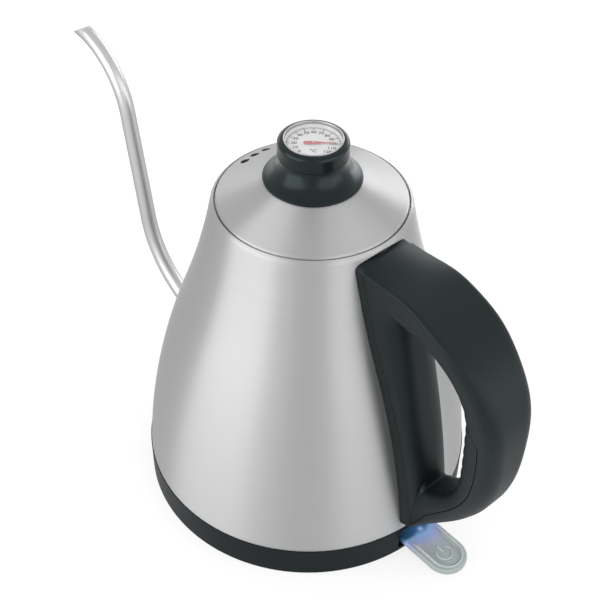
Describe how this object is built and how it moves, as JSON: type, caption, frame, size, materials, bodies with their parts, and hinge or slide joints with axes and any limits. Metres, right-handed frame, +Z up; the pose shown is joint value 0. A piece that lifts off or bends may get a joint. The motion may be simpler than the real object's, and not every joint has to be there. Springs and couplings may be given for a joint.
{
  "type": "electric gooseneck kettle",
  "caption": "Cordless electric gooseneck kettle: bell-shaped steel body, curved pouring spout, lift-off lid with a dial thermometer knob, loop handle and rocking base switch.",
  "frame": {"origin": "centre of the base ring's underside, on the surface the kettle stands on", "axes": "+Z up along the body's axis, +X towards the handle, spout along -X"},
  "size_m": [0.3038, 0.1608, 0.1962],
  "materials": {
    "brushed_steel": "brushed",
    "polished_steel": "polished",
    "inner_steel": "satin",
    "aluminium": "satin",
    "brass": "satin",
    "bimetal": "satin",
    "black_plastic": "satin",
    "knob_plastic": "satin gloss",
    "grey_plastic": "matte",
    "white_plastic": "matte",
    "silicone": "matte",
    "smoke_plastic": "translucent",
    "led_blue": "clear",
    "lens_glass": "clear",
    "dial_print": "printed",
    "pointer_red": "satin",
    "wire_cover": "matte"
  },
  "bodies": {
    "kettle": {"body_shell": "brushed_steel", "mouth_ring": "inner_steel", "vessel_floor": "inner_steel", "spout_tube": "polished_steel", "steam_pipe": "inner_steel", "heat_spreader": "aluminium", "heating_element": "inner_steel", "element_pins": "brass", "control_body": "white_plastic", "control_tabs": "brass", "control_screws": "inner_steel", "snap_discs": "bimetal", "earth_pin": "brass", "contact_ring": "brass", "base_ring": "black_plastic", "base_cover": "black_plastic", "base_standoffs": "inner_steel", "base_screws": "inner_steel", "switch_frame": "grey_plastic", "steam_cap": "grey_plastic", "steam_bimetal": "bimetal", "lever_pin": "inner_steel", "contact_leaf": "brass", "fixed_contact": "brass", "lead_wires": "wire_cover", "handle_studs": "inner_steel", "handle_mount": "black_plastic", "mount_screws": "inner_steel", "handle_shell": "black_plastic", "handle_cover": "black_plastic", "cover_screws": "inner_steel"},
    "lid": {"lid_shell": "brushed_steel", "lid_skirt": "inner_steel", "lid_gasket": "silicone", "lid_knob": "knob_plastic", "knob_washer": "silicone", "knob_nut": "inner_steel", "thermometer_case": "polished_steel", "thermometer_bezel": "polished_steel", "thermometer_lens": "lens_glass", "dial_plate": "dial_print", "probe_stem": "inner_steel", "bimetal_helix": "bimetal"},
    "pointer": {"dial_pointer": "pointer_red", "pointer_shaft": "inner_steel"},
    "lever": {"switch_lever": "smoke_plastic", "lever_led": "led_blue"},
    "trip": {"trip_pin": "white_plastic"}
  },
  "joints": [
    {"name": "lid_lift", "type": "slide", "parent": "kettle", "child": "lid", "axis": [0, 0, 1], "range_m": [0, 0.12]},
    {"name": "pointer_turn", "type": "hinge", "parent": "lid", "child": "pointer", "pos_m": [0, 0, 0.19], "axis": [0, 0, 1], "range_deg": [-45, 225], "deforming": ["bimetal_helix"]},
    {"name": "switch_rock", "type": "hinge", "parent": "kettle", "child": "lever", "pos_m": [0.073, 0, 0.008], "axis": [0, -1, 0], "range_deg": [0, 10], "deforming": ["contact_leaf"]},
    {"name": "trip_drop", "type": "slide", "parent": "kettle", "child": "trip", "axis": [0, 0, -1], "range_m": [0, 0.0018]}
  ],
  "couplings": [
    {"joint": "trip_drop", "follows": "switch_rock", "m_per_rad": 0.0097}
  ]
}
